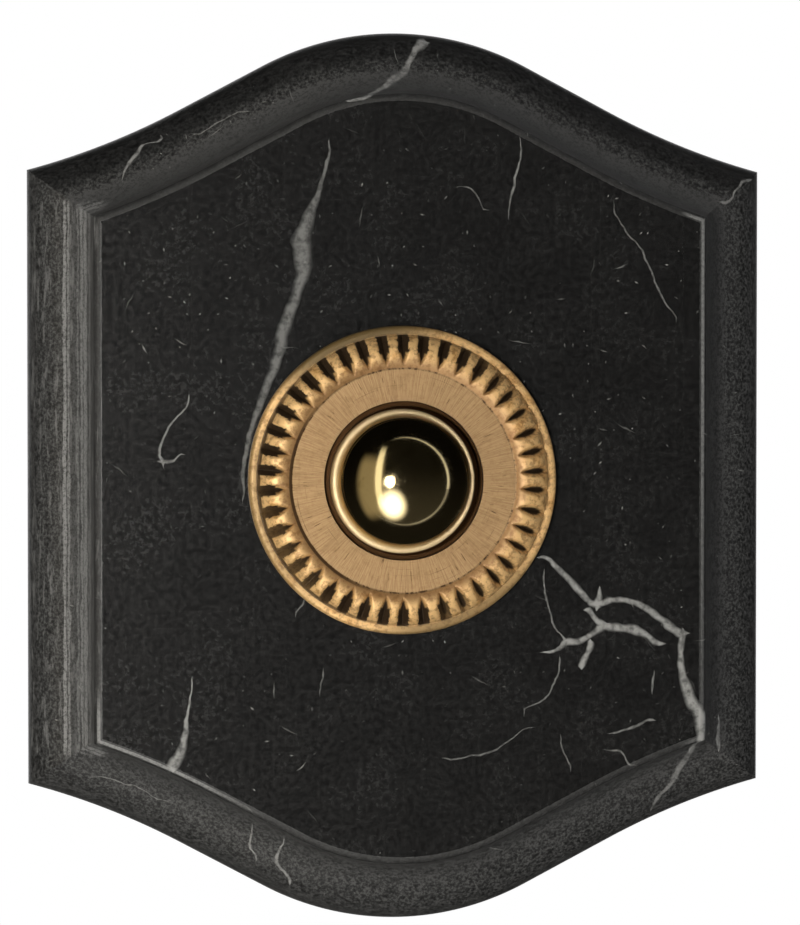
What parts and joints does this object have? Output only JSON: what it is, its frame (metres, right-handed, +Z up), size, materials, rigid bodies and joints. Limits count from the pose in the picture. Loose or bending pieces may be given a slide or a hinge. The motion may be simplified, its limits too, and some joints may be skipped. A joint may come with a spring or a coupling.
{
  "type": "doorbell push button",
  "caption": "Domed brass doorbell push in a round gadrooned rose, set in a black marble plate with an ogee border; the button springs back when pressed.",
  "frame": {"origin": "middle of the back of the plate, on the wall plane and on the button's axis", "axes": "+X to the right seen from the front, +Z up, front faces -Y, wall on the +Y side"},
  "size_m": [0.078, 0.0281, 0.0944],
  "materials": {
    "black_marble": "polished black stone with white veins, sawn back",
    "cast_brass": "polished gadroons and bead, satin flat ring",
    "polished_brass": "mirror polished",
    "turned_brass": "as turned, slightly dull",
    "black_rubber": "matt",
    "red_fibre": "matt vulcanised fibre",
    "spring_steel": "drawn wire",
    "brown_phenolic": "moulded, low gloss",
    "phosphor_bronze": "rolled strip",
    "white_nylon": "matt"
  },
  "bodies": {
    "plate": {"marble_plate": "black_marble", "rose": "cast_brass", "rose_gasket": "black_rubber", "barrel": "turned_brass", "fibre_washer": "red_fibre", "clamp_washer": "turned_brass", "clamp_nut": "turned_brass", "guide_bush": "turned_brass", "return_spring": "spring_steel", "contact_cap": "brown_phenolic", "contact_leaf": "phosphor_bronze", "fixed_contact": "phosphor_bronze", "terminal_nuts": "turned_brass", "terminal_washers": "turned_brass", "terminal_screws": "turned_brass"},
    "push": {"push_button": "polished_brass", "stem_tip": "white_nylon"}
  },
  "joints": [
    {"name": "push_travel", "type": "slide", "parent": "plate", "child": "push", "axis": [0, 1, 0], "range_m": [0, 0.002], "stiffness_N_per_m": 800, "springref_m": -0.002, "deforming": ["return_spring", "contact_leaf"]}
  ]
}
